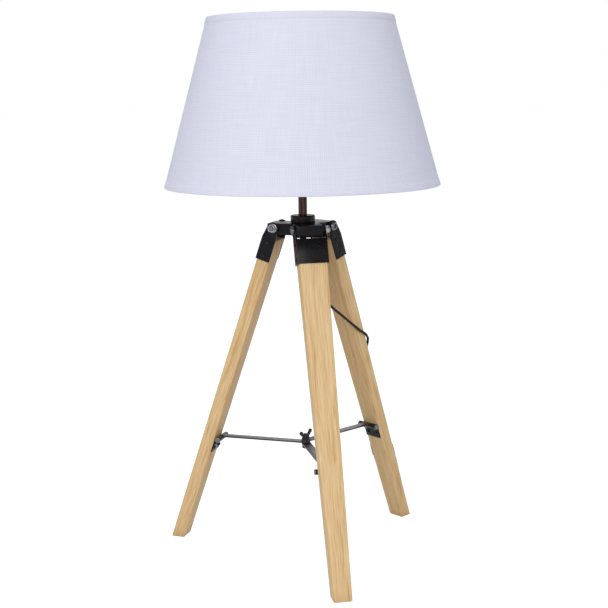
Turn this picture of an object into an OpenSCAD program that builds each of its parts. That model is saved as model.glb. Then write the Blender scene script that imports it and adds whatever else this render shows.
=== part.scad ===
// Tripod table lamp: three tapered wooden legs pinned into a pressed steel hub, a flat strip spreader
// with a wing nut, a short dark pole, a switched lampholder and a tapered fabric shade.
// Millimetres, +Z up. The origin is on the table, under the pole. The front leg stands towards -Y.

/* [Legs] */
// Radius of the circle that the leg centre lines meet on the table
foot_r = 156.5; // [140:0.5:175]
// Thickness of a leg, measured away from the pole
leg_t = 15; // [12:0.5:18]
// Width of a leg at the table
leg_foot_w = 20; // [16:0.5:24]
// Width of a leg where it enters its bracket
leg_top_w = 31; // [26:0.5:34]

/* [Leg brackets] */
// Sheet thickness of the folded leg bracket
bracket_t = 1.2; // [1:0.1:1.6]
// Length of the bracket's web along the leg
bracket_web_h = 27; // [20:1:32]
// Distance along the leg from the top of the web to the pivot bolt
pivot_above_web = 11; // [9:0.5:13]
// Radius of the rounded ear round the pivot bolt
ear_r = 6.5; // [5.5:0.5:7.5]
// Diameter of a wood screw head on the bracket's cheeks
cheek_screw_d = 4; // [3:0.5:5]

/* [Hub] */
// Height of the hub's top face over the table
hub_top_z = 373.5; // [365:0.5:380]
// Depth of the hub's folded skirt
hub_skirt_h = 12.5; // [10:0.5:13]
// Sheet thickness of the hub
hub_t = 1.5; // [1:0.1:2]
// Reach of each hub arm from the pole
hub_reach = 36; // [33:0.5:39]
// Diameter of the pivot bolts
pivot_d = 5; // [4:0.5:6]
// Diameter of the pivot bolt heads
pivot_head_d = 10; // [8:0.5:11]
// Diameter of the collar on the hub
collar_d = 27; // [22:0.5:30]
// Height of the collar
collar_h = 8.5; // [6:0.5:12]

/* [Pole and lampholder] */
// Outer diameter of the pole
pole_d = 9.6; // [9:0.1:10.5]
// Height over the hub where the lampholder starts
pole_shows = 31.5; // [24:0.5:40]
// Outer diameter of the lampholder
holder_d = 39; // [37:0.5:42]
// Height of the lampholder's body
holder_h = 42; // [40:0.5:46]
// Diameter of the switch's push bar
switch_bar_d = 4.5; // [4:0.5:5.5]
// Length of the switch's push bar
switch_bar_l = 54; // [50:1:60]
// Travel of the switch's push bar
switch_travel = 4; // [3:0.5:5]

/* [Bulb] */
// Diameter of the bulb's screw cap
bulb_cap_d = 26; // [25.5:0.1:26.4]
// Diameter of the bulb's globe
globe_d = 60; // [50:1:66]
// Height of the bulb over the lampholder's mouth
globe_h = 82; // [74:1:92]

/* [Shade] */
// Outer diameter of the shade's lower rim
shade_bottom_d = 300; // [280:2:320]
// Outer diameter of the shade's upper rim
shade_top_d = 200; // [184:2:216]
// Height of the shade
shade_h = 180; // [165:1:190]
// Height over the hub of the shade's lower rim
shade_over_hub = 41; // [34:0.5:46]
// Thickness of the shade's lined fabric
shade_t = 1.2; // [1:0.1:1.6]
// Height of the folded hem at each rim
hem_h = 7; // [4:0.5:10]
// Diameter of the shade's frame wire
wire_d = 3; // [2:0.5:4]

/* [Spreader] */
// Height of the middle strip over the table
strut_z = 124.7; // [110:0.1:140]
// Width of a spreader strip
strut_w = 10; // [8:0.5:12]
// Thickness of a spreader strip
strut_t = 1.5; // [1.2:0.1:2]
// Distance from a hinge pin to the inner face of its leg
knuckle_out = 4.6; // [4.5:0.1:6]
// Diameter of the hinge pins
hinge_pin_d = 3; // [2.6:0.2:3.2]
// Diameter of the spreader's centre bolt
centre_bolt_d = 5; // [4:0.5:6]
// Diameter of the wing nut's boss
wing_boss_d = 9; // [8:0.5:11]
// Half span of the wing nut
wing_reach = 10.5; // [9:0.5:12]

/* [Cord] */
// Diameter of the cord
cord_d = 3; // [2.8:0.1:3.1]
// Layers in the hank
hank_layers = 4; // [2:2:4]
// Length of the hank's straight runs
hank_run = 60; // [50:1:60]
// Centre line radius of the hank's tightest fold
hank_fold_r = 9; // [9:0.1:10]

/* [Hidden] */
$fn = 48;
FRONT = -90;
RIGHT = 30;
LEFT = 150;
fit = 0.3;          // gap between parts that only lie near each other
slip = 0.05;        // radial gap of a running fit
far = 400;          // reach of a cutting block

// Legs: local z runs up the leg from the table, local x points away from the pole.
pivot_inset = 6.4;                              // from the end of a hub arm back to its bolt
pivot_r = hub_reach - pivot_inset;
pivot_z = hub_top_z - 5;
leg_splay = atan((foot_r - pivot_r) / pivot_z); // lean of each leg from the vertical
leg_cos = cos(leg_splay);
leg_sin = sin(leg_splay);
arm_w = leg_top_w;                              // outer width of a hub arm
cheek_gap = arm_w + 2 * fit;                    // between a bracket's cheeks
function leg_x(r, z) = (r - foot_r) * leg_cos + z * leg_sin;
function leg_z(r, z) = (foot_r - r) * leg_sin + z * leg_cos;
pivot_lx = leg_x(pivot_r, pivot_z);
pivot_lz = leg_z(pivot_r, pivot_z);
web_top = pivot_lz - pivot_above_web;
web_bottom = web_top - bracket_web_h;
leg_end = web_top - 2;
cheek_screw_z = [web_bottom + 5.5, web_top - 6];
pivot_head_h = 3.4;
socket_r = 2.6;     // hexagon socket in a bolt head
socket_deep = 2.2;
pivot_washer_h = 1;
pivot_nut_h = 4;
pivot_side = cheek_gap / 2 + bracket_t;         // outer face of a cheek

// Pole and lampholder, heights over the table
hub_under_z = hub_top_z - hub_t;
pole_nut_h = 5;
washer_h = 1.5;
pole_bottom_z = hub_under_z - washer_h - pole_nut_h - 6;
relief_h = 22;
relief_z = 335;
collar_top_z = hub_top_z + collar_h;
cap_z = hub_top_z + pole_shows;
cap_h = 19;
holder_z = cap_z + cap_h;
holder_r = holder_d / 2;
holder_wall = 1.8;
holder_top_z = holder_z + holder_h;
bar_z = holder_z + 7;
core_z = bar_z + switch_bar_d / 2 + 3;
core_h = 6;
shoulder_z = core_z + core_h + 1.5;
shoulder_h = 2.5;
fitter_t = 2;
ring_z = shoulder_z + shoulder_h + fitter_t;
ring_h = 8;
ring_flange_r = holder_r + 6;
shell_t = 0.6;
shell_r = bulb_cap_d / 2 + slip;
pole_top_z = holder_z - 6;

// Bulb
bulb_tip_z = core_z + core_h + 2.5;
bulb_base_h = 24;
globe_r = globe_d / 2;
globe_top_z = holder_top_z + globe_h;
globe_mid_z = globe_top_z - globe_r;
neck_z = bulb_tip_z + bulb_base_h;

// Shade
shade_z = hub_top_z + shade_over_hub;
shade_top_z = shade_z + shade_h;
shade_slope = (shade_bottom_d - shade_top_d) / 2 / shade_h;
function shade_r(z) = shade_bottom_d / 2 - (z - shade_z) * shade_slope;
wire_r = wire_d / 2;
low_wire_z = shade_z + wire_r + 2;
low_wire_r = shade_r(low_wire_z) - shade_t - wire_r - fit;
top_wire_z = shade_top_z - wire_r - 2;
top_wire_r = shade_r(top_wire_z) - shade_t - wire_r - fit;
hem_t = 0.5;

// Spreader: the front strip lies lowest, then the left one, then the right one.
function strip_z(level) = strut_z + level * strut_t;
barrel_r = hinge_pin_d / 2 + strut_t;
function pin_z(level) = strip_z(level) - barrel_r + strut_t / 2;
function leg_inner_r(z) = foot_r - (z * leg_sin + leg_t / 2) / leg_cos;
function pin_r(level) = leg_inner_r(pin_z(level)) - knuckle_out;
leaf_t = 1.4;
leaf_w = 22;
leaf_h = 13;
leaf_ear_t = 7.3;   // length of each of a leaf's two knuckles
leaf_ear_gap = strut_w + 2 * fit;
leaf_drop = 17.5;   // from the pin down to the leaf's lower edge
leaf_screw_y = 7.2;
leaf_screw_d = 5;
leaf_ear_low = 9;   // from the pin down to the foot of a knuckle's web
leaf_screw_up = leaf_drop - leaf_ear_low - leaf_screw_d / 2 - 2 * fit;
stack_low_z = strip_z(-1) - strut_t / 2;
stack_top_z = strip_z(1) + strut_t / 2;
centre_washer_h = 1;
centre_washer_d = 10;
bolt_head_h = 4;
bolt_head_d = 8.6;
wing_z = stack_top_z + centre_washer_h;
wing_boss_h = 4.2;
wing_turn = 40;
bolt_top_z = wing_z + wing_boss_h + 2;

// Cord: the route's points are chosen by hand. It leaves the relief, passes the near side of the
// right leg, goes round it, follows its outer face down to the table and runs back to the hank.
cord_r = cord_d / 2;
cord_route = [
    [0, 0, 335], [0.3, 0, 329], [1.8, -0.4, 321], [5, -0.8, 312], [10, -1.3, 303],
    [16.3, -1.8, 294], [23.5, -2, 285.5], [30.7, -1.4, 278.6], [38.5, 2.8, 271.6], [46.5, 7.6, 265],
    [54.5, 12.4, 258], [62.5, 17.2, 251.4], [70, 21.6, 245], [76.2, 25.5, 240.9], [80.1, 28.2, 236.7],
    [82.1, 30.9, 232.2], [82.4, 34.8, 225.6], [82.3, 40.5, 217.7], [82.9, 44.9, 209.9], [85.5, 48.2, 198],
    [90.5, 52.2, 180], [99.5, 57.4, 150], [108.5, 62.6, 120], [117.4, 67.8, 90], [126.3, 72.9, 60],
    [133.5, 77.1, 36], [137.9, 79.8, 22], [141.8, 83.2, 12], [144.6, 87.5, 6], [147, 92.5, 3],
    [149, 98.5, 1.7], [151.5, 107, 1.5], [155.1, 120.8, 1.5], [162.1, 150.6, 1.5], [169.1, 180.4, 1.5],
    [176.1, 210.1, 1.5], [182.8, 239.6, 1.5], [187.8, 261.1, 1.6], [191.3, 276.4, 1.9], [194.35, 289.64, 2.2]
];
lead_end = cord_route[len(cord_route) - 1];
bearing = [0.229, 0.9734];                      // the way the cord runs back over the table
hank_turn = atan2(bearing[1], bearing[0]);
hank_gap = 0.47;                                // between turns that lie side by side
waist = 0.03;                                   // how far the runs are drawn in at the tie
hank_step = (cord_d + hank_gap) / (1 - waist);
hank_layer = cord_d + hank_gap;
layer_turns = 1.5;
hank_turns = hank_layers * layer_turns - 0.25;
turn_back = 0.125;                              // the spiral turns back in the middle of a run
loop_rings = 24;
hank_out_r = hank_fold_r + layer_turns * hank_step;
hank_start_r = hank_out_r + turn_back * hank_step;
hank_end_r = hank_out_r - (turn_back + 0.25) * hank_step;
hank_stub = cord_d;
hank_lean = 0.25;                                // sideways shift for each millimetre of height
hank_z = lead_end[2];
hank_origin = lead_end + [
    (hank_run / 2 + hank_stub) * bearing[0] - hank_start_r * bearing[1],
    (hank_run / 2 + hank_stub) * bearing[1] + hank_start_r * bearing[0],
    0
];
tie_w = 6;
tie_t = 0.5;

// Tail from the hank to the plug, in the hank's own frame
plug_l = 28;
plug_w = 21;
plug_h = 13;
plug_relief_l = 15;
blade_l = 17;
blade_w = 6.3;
blade_t = 1.5;
blade_gap = 12.7;
plug_lift = plug_h / 2;
tail_top_z = hank_z + (hank_layers - 1) * hank_layer;
tail_start_x = -hank_run / 2 - hank_stub;
tail_out = hank_end_r + hank_lean * (tail_top_z - hank_z);
tail_y = 0;
tail_end_x = tail_start_x - 44;
tail_route = [
    [tail_start_x, tail_out, tail_top_z], [tail_start_x - 4, tail_out, tail_top_z],
    [tail_start_x - 9, 15, 12.2], [tail_start_x - 15, 12.9, 11.3], [tail_start_x - 21, 9, 10],
    [tail_start_x - 28, 4.4, 8.2], [tail_start_x - 34, 1.3, 7.1], [tail_end_x + 4, tail_y, plug_lift],
    [tail_end_x, tail_y, plug_lift]
];

module on_leg(turn) {
    rotate([0, 0, turn])
        translate([foot_r, 0, 0])
            rotate([0, -leg_splay, 0])
                children();
}

module each_leg() {
    for (turn = [FRONT, LEFT, RIGHT])
        on_leg(turn)
            children();
}

// A cylinder across the leg, centred on the leg's mid plane
module cross_rod(d, l) {
    rotate([90, 0, 0])
        cylinder(d = d, h = l, center = true);
}

// ---------------------------------------------------------------- legs and brackets
module leg(turn) {
    color("burlywood")
        difference() {
            on_leg(turn)
                translate([-leg_t / 2, 0, 0])
                    rotate([90, 0, 90])
                        linear_extrude(leg_t)
                            polygon([
                                [-leg_foot_w / 2 + 0.6, -far / 20], [leg_foot_w / 2 - 0.6, -far / 20],
                                [leg_top_w / 2, web_bottom], [leg_top_w / 2, leg_end],
                                [-leg_top_w / 2, leg_end], [-leg_top_w / 2, web_bottom]
                            ]);
            translate([-far, -far, -far])
                cube([2 * far, 2 * far, far]);
            on_leg(turn)
                for (z = cheek_screw_z, side = [-1, 1])
                    translate([0, side * leg_top_w / 2, z])
                        cross_rod(2.4, 20);
        }
}

module cheek_outline() {
    difference() {
        union() {
            translate([-leg_t / 2, web_bottom])
                square([leg_t + bracket_t, bracket_web_h]);
            polygon([
                [-leg_t / 2, web_top - 1], [leg_t / 2 + bracket_t, web_top - 1],
                [pivot_lx + ear_r, pivot_lz], [pivot_lx - ear_r, pivot_lz]
            ]);
            translate([pivot_lx, pivot_lz])
                circle(r = ear_r);
        }
        translate([pivot_lx, pivot_lz])
            circle(d = pivot_d + 2 * slip);
        for (z = cheek_screw_z)
            translate([0, z])
                circle(d = 2.6);
    }
}

module leg_bracket(turn) {
    color("black")
        on_leg(turn) {
            for (y = [-cheek_gap / 2 - bracket_t, cheek_gap / 2])
                translate([0, y + bracket_t, 0])
                    rotate([90, 0, 0])
                        linear_extrude(bracket_t)
                            cheek_outline();
            translate([leg_t / 2, -cheek_gap / 2 - bracket_t / 2, web_bottom])
                cube([bracket_t, cheek_gap + bracket_t, bracket_web_h]);
        }
}

module bracket_screws() {
    color("dimgray")
        each_leg()
            for (z = cheek_screw_z, side = [-1, 1])
                translate([0, side * pivot_side, z])
                    rotate([-90 * side, 0, 0]) {
                        cylinder(d1 = cheek_screw_d, d2 = cheek_screw_d - 1, h = 1);
                        translate([0, 0, -9])
                            cylinder(d = 2.2, h = 9.5);
                    }
}

// ---------------------------------------------------------------- hub
module arm_block(w, reach, h) {
    for (turn = [FRONT, LEFT, RIGHT])
        rotate([0, 0, turn])
            translate([0, -w / 2, 0])
                cube([reach, w, h]);
}

module hub() {
    color("black")
        difference() {
            translate([0, 0, hub_top_z - hub_skirt_h])
                arm_block(arm_w, hub_reach, hub_skirt_h);
            translate([0, 0, hub_top_z - hub_skirt_h - 1])
                arm_block(arm_w - 2 * hub_t, hub_reach - hub_t, hub_skirt_h + 1 - hub_t);
            translate([0, 0, hub_under_z - 1])
                cylinder(d = pole_d + 2 * slip, h = hub_t + 2);
            each_leg()
                translate([pivot_lx, 0, pivot_lz])
                    cross_rod(pivot_d + 2 * slip, far / 8);
        }
}

module collar() {
    color("black")
        translate([0, 0, hub_top_z])
            rotate_extrude()
                polygon([
                    [pole_d / 2 + slip, 0], [collar_d / 2, 0], [collar_d / 2, collar_h - 0.8],
                    [collar_d / 2 - 0.8, collar_h], [pole_d / 2 + slip, collar_h]
                ]);
}

module at_pivot() {
    each_leg()
        translate([pivot_lx, 0, pivot_lz])
            children();
}

// Heads on the local -Y side, which faces left of each leg as seen from outside
module pivot_bolts() {
    color("silver")
        at_pivot() {
            translate([0, -pivot_side, 0])
                rotate([90, 0, 0])
                    difference() {
                        rotate_extrude()
                            polygon([
                                [0, 0], [pivot_head_d / 2, 0], [pivot_head_d / 2, pivot_head_h - 1.4],
                                [pivot_head_d / 2 - 1.4, pivot_head_h], [0, pivot_head_h]
                            ]);
                        translate([0, 0, pivot_head_h - socket_deep])
                            cylinder(r = socket_r, h = socket_deep + 1, $fn = 6);
                    }
            translate([0, -pivot_side - 0.5, 0])
                rotate([-90, 0, 0])
                    cylinder(d = pivot_d, h = 2 * pivot_side + pivot_washer_h + pivot_nut_h + 2);
        }
}

module pivot_nuts() {
    color("silver")
        at_pivot()
            translate([0, pivot_side + pivot_washer_h, 0])
                rotate([-90, 0, 0])
                    difference() {
                        cylinder(r = 4.6, h = pivot_nut_h, $fn = 6);
                        translate([0, 0, -1])
                            cylinder(d = pivot_d + 2 * slip, h = pivot_nut_h + 2);
                    }
}

module pivot_washers() {
    color("silver")
        at_pivot()
            translate([0, pivot_side, 0])
                rotate([-90, 0, 0])
                    difference() {
                        cylinder(d = pivot_head_d, h = pivot_washer_h);
                        translate([0, 0, -1])
                            cylinder(d = pivot_d + 2 * slip, h = pivot_washer_h + 2);
                    }
}

// ---------------------------------------------------------------- pole
module tube(d, bore, h) {
    difference() {
        cylinder(d = d, h = h);
        translate([0, 0, -1])
            cylinder(d = bore, h = h + 2);
    }
}

module pole() {
    color("dimgray")
        translate([0, 0, pole_bottom_z])
            tube(pole_d, pole_d - 3, pole_top_z - pole_bottom_z);
}

module pole_washer() {
    color("silver")
        translate([0, 0, hub_under_z - washer_h])
            tube(20, pole_d + 2 * slip, washer_h);
}

module pole_nut() {
    color("silver")
        translate([0, 0, hub_under_z - washer_h - pole_nut_h])
            difference() {
                cylinder(r = 8, h = pole_nut_h, $fn = 6);
                translate([0, 0, -1])
                    cylinder(d = pole_d + 2 * slip, h = pole_nut_h + 2);
            }
}

// Soft sleeve: a plug in the pole, a flange under it and a taper down to the cord
module strain_relief() {
    color("black")
        rotate_extrude()
            polygon([
                [0, relief_z], [cord_r + 0.7, relief_z], [3.6, pole_bottom_z - 2],
                [pole_d / 2 + 0.8, pole_bottom_z - 2], [pole_d / 2 + 0.8, pole_bottom_z],
                [pole_d / 2 - 1.5 - slip, pole_bottom_z], [pole_d / 2 - 1.5 - slip, pole_bottom_z + 6],
                [0, pole_bottom_z + 6]
            ]);
}

// ---------------------------------------------------------------- lampholder
module lampholder_cap() {
    color("black")
        translate([0, 0, cap_z])
            rotate_extrude()
                polygon([
                    [pole_d / 2 + slip, 0], [8.5, 0], [9.5, 1], [9.5, 5], [holder_r - 3, 12],
                    [holder_r, 15], [holder_r, cap_h], [holder_r - holder_wall, cap_h],
                    [holder_r - holder_wall, 15.8], [holder_r - 4.2, 13.8], [8, 7],
                    [pole_d / 2 + slip, 7]
                ]);
}

module lampholder_body() {
    color("black")
        difference() {
            union() {
                translate([0, 0, holder_z])
                    tube(holder_d, holder_d - 2 * holder_wall, holder_h);
                translate([0, 0, holder_z])
                    tube(holder_d - 1, 2 * shell_r + 2 * shell_t + 2, core_z - holder_z);
                translate([0, 0, shoulder_z])
                    tube(holder_d + 11, holder_d - 1, shoulder_h);
                for (i = [0 : 5])
                    translate([0, 0, ring_z + 0.6 + i * 2.4])
                        rotate_extrude()
                            translate([holder_r - 0.2, 0])
                                circle(r = 0.5, $fn = 14);
            }
            translate([0, 0, bar_z])
                rotate([0, 90, 0])
                    cylinder(d = switch_bar_d + 2 * slip, h = far, center = true);
        }
}

module lampholder_core() {
    color("white")
        translate([0, 0, core_z])
            cylinder(r = holder_r - holder_wall - fit, h = core_h);
}

module screw_shell() {
    color("gold")
        translate([0, 0, core_z + core_h])
            tube(2 * shell_r + 2 * shell_t, 2 * shell_r, holder_top_z - core_z - core_h - 3);
}

module centre_contact() {
    color("gold")
        translate([0, 0, core_z + core_h])
            cylinder(d = 6, h = bulb_tip_z - core_z - core_h - fit);
}

module switch_bar() {
    color("black")
        translate([-switch_travel / 2, 0, bar_z])
            rotate([0, 90, 0])
                rotate_extrude()
                    polygon([
                        [0, -switch_bar_l / 2], [switch_bar_d / 2 - 0.8, -switch_bar_l / 2],
                        [switch_bar_d / 2, 0.8 - switch_bar_l / 2], [switch_bar_d / 2, switch_bar_l / 2 - 0.8],
                        [switch_bar_d / 2 - 0.8, switch_bar_l / 2], [0, switch_bar_l / 2]
                    ]);
}

// Threaded ring that holds the shade's fitter down on the shoulder
module shade_ring() {
    color("black")
        translate([0, 0, ring_z])
            difference() {
                union() {
                    cylinder(r = ring_flange_r, h = 3);
                    cylinder(d = holder_d + 8, h = ring_h);
                    for (i = [0 : 23])
                        rotate([0, 0, i * 15])
                            translate([holder_r + 4, 0, 0])
                                cylinder(r = 0.9, h = ring_h, $fn = 16);
                }
                translate([0, 0, -1])
                    cylinder(d = holder_d + 2 * fit + 0.6, h = ring_h + 2);
            }
}

// ---------------------------------------------------------------- bulb
module bulb_cap() {
    color("silver")
        translate([0, 0, bulb_tip_z])
            rotate_extrude()
                polygon([
                    [0, 0], [3.5, 0], [5, 1.5], [9, 3.5], [bulb_cap_d / 2 - slip, 6],
                    [bulb_cap_d / 2 - slip, bulb_base_h], [0, bulb_base_h]
                ]);
}

module bulb_globe() {
    blend_z = globe_mid_z - globe_r * 0.5;
    blend_r = globe_r * cos(30);
    color("white")
        rotate_extrude($fn = 64)
            polygon(concat(
                [[0, neck_z], [bulb_cap_d / 2 + 0.5, neck_z], [bulb_cap_d / 2 + 2, neck_z + 5]],
                [[blend_r - 8, blend_z - 12]],
                [for (a = [-30 : 8 : 90]) [globe_r * cos(a), globe_mid_z + globe_r * sin(a)]],
                [[0, globe_top_z]]
            ));
}

// ---------------------------------------------------------------- shade
module cone_band(z0, z1, out, thick) {
    rotate_extrude($fn = 96)
        polygon([
            [shade_r(z0) + out, z0], [shade_r(z1) + out, z1],
            [shade_r(z1) + out - thick, z1], [shade_r(z0) + out - thick, z0]
        ]);
}

module shade_panel() {
    color("white")
        cone_band(shade_z, shade_top_z, 0, shade_t);
}

module shade_hem_lower() {
    color("white")
        cone_band(shade_z, shade_z + hem_h, hem_t + slip, hem_t);
}

module shade_hem_upper() {
    color("white")
        cone_band(shade_top_z - hem_h, shade_top_z, hem_t + slip, hem_t);
}

module wire_ring(r, z) {
    translate([0, 0, z])
        rotate_extrude($fn = 96)
            translate([r, 0])
                circle(r = wire_r, $fn = 16);
}

module shade_fitter() {
    seat_r = ring_flange_r + 1.2;
    seat_z = shoulder_z + shoulder_h + fitter_t / 2;
    rise = seat_z - low_wire_z;
    span = low_wire_r - seat_r;
    color("whitesmoke") {
        wire_ring(low_wire_r, low_wire_z);
        translate([0, 0, shoulder_z + shoulder_h])
            tube(2 * seat_r + 1.6, holder_d + 2 * fit + 0.6, fitter_t);
        for (turn = [FRONT, LEFT, RIGHT])
            rotate([0, 0, turn])
                translate([low_wire_r, 0, low_wire_z])
                    rotate([0, -atan2(span, rise), 0])
                        cylinder(d = wire_d - 0.6, h = norm([span, rise]));
    }
}

module shade_top_wire() {
    color("whitesmoke")
        wire_ring(top_wire_r, top_wire_z);
}

// ---------------------------------------------------------------- spreader
module strut(turn, level) {
    color("dimgray")
        rotate([0, 0, turn])
            difference() {
                union() {
                    translate([0, -strut_w / 2, strip_z(level) - strut_t / 2])
                        cube([pin_r(level), strut_w, strut_t]);
                    translate([0, 0, strip_z(level) - strut_t / 2])
                        cylinder(d = strut_w, h = strut_t);
                    translate([pin_r(level), 0, pin_z(level)])
                        cross_rod(2 * barrel_r, strut_w);
                }
                translate([0, 0, strip_z(level) - strut_t])
                    cylinder(d = centre_bolt_d + 0.4, h = 2 * strut_t);
                translate([pin_r(level), 0, pin_z(level)])
                    cross_rod(hinge_pin_d + 2 * slip, strut_w + 2);
            }
}

// One knuckle of a leaf, beside the strip's own, and the web that joins it to the leaf
module leaf_ear(px, pz, side) {
    foot_x = -leg_t / 2 - leaf_t / 2;
    near = leaf_ear_gap / 2;
    middle = side * (near + leaf_ear_t / 2);
    web_w = leaf_w / 2 - near;
    difference() {
        union() {
            translate([px, middle, pz])
                cross_rod(2 * barrel_r, leaf_ear_t);
            translate([0, side * (near + web_w / 2) + web_w / 2, 0])
                rotate([90, 0, 0])
                    linear_extrude(web_w)
                        polygon([
                            [px - 1, pz - barrel_r + 0.2], [px + 1.6, pz + barrel_r - 0.6],
                            [foot_x, pz - 5], [foot_x, pz - leaf_ear_low]
                        ]);
        }
        translate([px, middle, pz])
            cross_rod(hinge_pin_d + 2 * slip, leaf_ear_t + 2);
    }
}

module hinge_leaf(turn, level) {
    px = leg_x(pin_r(level), pin_z(level));
    pz = leg_z(pin_r(level), pin_z(level));
    color("black")
        on_leg(turn) {
            difference() {
                translate([-leg_t / 2 - leaf_t, -leaf_w / 2, pz - leaf_drop])
                    cube([leaf_t, leaf_w, leaf_h + 1]);
                for (side = [-1, 1])
                    translate([-leg_t / 2, side * leaf_screw_y, pz - leaf_drop + leaf_screw_up])
                        rotate([0, 90, 0])
                            cylinder(d = 2.6, h = 10, center = true);
            }
            for (side = [-1, 1])
                leaf_ear(px, pz, side);
        }
}

LEVELS = [[FRONT, -1], [LEFT, 0], [RIGHT, 1]];

module hinge_pins() {
    pin_l = leaf_ear_gap + 2 * leaf_ear_t;
    color("silver")
        for (leg = LEVELS)
            rotate([0, 0, leg[0]])
                translate([pin_r(leg[1]), 0, pin_z(leg[1])]) {
                    cross_rod(hinge_pin_d, pin_l + 1);
                    for (side = [-1, 1])
                        translate([0, side * (pin_l / 2 + 1), 0])
                            cross_rod(hinge_pin_d + 3, 1.8);
                }
}

module leaf_screws() {
    color("silver")
        for (leg = LEVELS)
            on_leg(leg[0])
                for (side = [-1, 1])
                    translate([
                        -leg_t / 2 - leaf_t, side * leaf_screw_y,
                        leg_z(pin_r(leg[1]), pin_z(leg[1])) - leaf_drop + leaf_screw_up
                    ])
                        rotate([0, -90, 0]) {
                            cylinder(d1 = leaf_screw_d, d2 = leaf_screw_d - 2, h = 1.6);
                            translate([0, 0, -leaf_t])
                                cylinder(d = 2.4, h = leaf_t + 0.5);
                        }
}

module centre_bolt() {
    head_z = stack_low_z - centre_washer_h - bolt_head_h;
    color("black") {
        translate([0, 0, head_z])
            cylinder(d = bolt_head_d, h = bolt_head_h, $fn = 6);
        translate([0, 0, head_z + 1])
            cylinder(d = centre_bolt_d, h = bolt_top_z - head_z - 1);
    }
}

module centre_washers() {
    color("dimgray")
        for (z = [stack_low_z - centre_washer_h, stack_top_z])
            translate([0, 0, z])
                tube(centre_washer_d, centre_bolt_d + 0.4, centre_washer_h);
}

// One wing: a flat ear that leans outwards and ends in a round lobe
module wing() {
    rotate([90, 0, 0])
        linear_extrude(2, center = true)
            union() {
                polygon([[2.6, 0.5], [3.6, 0.8], [wing_reach - 1.1, 6.7], [wing_reach - 3.3, 8.9], [2.6, 4.4]]);
                translate([wing_reach - 2.2, 7.8])
                    circle(r = 2.2);
            }
}

module wing_nut() {
    color("black")
        translate([0, 0, wing_z + slip])
            rotate([0, 0, wing_turn])
                difference() {
                    union() {
                        cylinder(d1 = wing_boss_d, d2 = wing_boss_d - 1.6, h = wing_boss_h);
                        for (turn = [0, 180])
                            rotate([0, 0, turn])
                                wing();
                    }
                    translate([0, 0, -1])
                        cylinder(d = centre_bolt_d + 2 * slip, h = wing_boss_h + 6);
                }
}

// ---------------------------------------------------------------- cord
function unit(v) = v / norm(v);

// Point between p[i] and p[i + 1] on a smooth curve through all the points
function at_knot(p, i) = p[max(0, min(len(p) - 1, i))];
function smooth_at(p, i, t) =
    let (a = at_knot(p, i - 1), b = at_knot(p, i), c = at_knot(p, i + 1), d = at_knot(p, i + 2))
    0.5 * (2 * b + (c - a) * t + (2 * a - 5 * b + 4 * c - d) * t * t + (3 * b - 3 * c + d - a) * t * t * t);
function smooth(p, n) = concat(
    [for (i = [0 : len(p) - 2], k = [0 : n - 1]) smooth_at(p, i, k / n)],
    [p[len(p) - 1]]
);
function run_length(p) = len(p) < 2 ? 0 : path_sum(p, 0);
function path_sum(p, i) = i >= len(p) - 1 ? 0 : norm(p[i + 1] - p[i]) + path_sum(p, i + 1);

// Unit tangent at each point, and a normal carried along with no twist
function tangent(p, i) = unit(at_knot(p, i + 1) - at_knot(p, i - 1));
function square_to(n, t) = unit(n - (n * t) * t);
function normals(p, first) =
    [for (i = 0, n = square_to(first, tangent(p, 0)); i < len(p);
        i = i + 1, n = square_to(n, tangent(p, min(i, len(p) - 1)))) n];

// A closed tube of round section along the points
module sweep(p, r, sides, first) {
    count = len(p);
    across = normals(p, first);
    ring = [
        for (i = [0 : count - 1], k = [0 : sides - 1])
            let (t = tangent(p, i), n = across[i], a = (k + 0.5) * 360 / sides)
            p[i] + r * (cos(a) * n + sin(a) * cross(t, n))
    ];
    walls = [
        for (i = [0 : count - 2], k = [0 : sides - 1], half = [0, 1])
            let (a = i * sides + k, b = i * sides + (k + 1) % sides)
            half == 0 ? [a, a + sides, b] : [b, a + sides, b + sides]
    ];
    ends = concat(
        [for (k = [1 : sides - 2]) [0, k, k + 1]],
        [for (k = [1 : sides - 2]) [count * sides - sides, count * sides - sides + k + 1,
            count * sides - sides + k]]
    );
    polyhedron(points = ring, faces = concat(walls, ends), convexity = 10);
}

// Hank: a long loop of two runs and two folds. The fold radius goes in at a steady rate in one
// layer and out again in the next, and the cord climbs a layer along the run where it turns back.
function layers_up(turns) =
    let (n = (turns - turn_back) / layer_turns, near = max(1, min(hank_layers - 1, round(n))))
    near - 0.5 + max(-0.5, min(0.5, (turns - turn_back - near * layer_turns) * 4));
function hank_rise(turns) = layers_up(turns) * hank_layer;
function hank_r(turns) =
    let (n = (turns - turn_back) / layer_turns, phase = n - 2 * floor(max(0, n) / 2))
    hank_out_r - hank_step * layer_turns * (phase < 1 ? phase : 2 - phase);
function hank_at(turns) =
    let (
        k = (turns - floor(turns)) * 4,
        q = floor(k), f = k - q, r = hank_r(turns), z = hank_rise(turns),
        half = hank_run / 2,
        x = q == 0 ? -half + hank_run * f : q == 1 ? half : q == 2 ? half - hank_run * f : -half,
        a = q == 0 ? -90 : q == 1 ? -90 + 180 * f : q == 2 ? 90 : 90 + 180 * f,
        drawn = 1 - waist * pow(cos(90 * min(1, abs(x) / half)), 2)
    )
    [x + r * cos(a), r * sin(a) * drawn + hank_lean * z, hank_z + z];
hank_points = concat(
    [[-hank_run / 2 - hank_stub, -hank_start_r, hank_z]],
    [for (i = [0 : hank_turns * loop_rings]) hank_at(min(i / loop_rings, hank_turns - 0.0001))],
    [[-hank_run / 2 - hank_stub, tail_out, tail_top_z]]
);

module in_hank() {
    translate([hank_origin[0], hank_origin[1], 0])
        rotate([0, 0, hank_turn])
            children();
}

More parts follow.
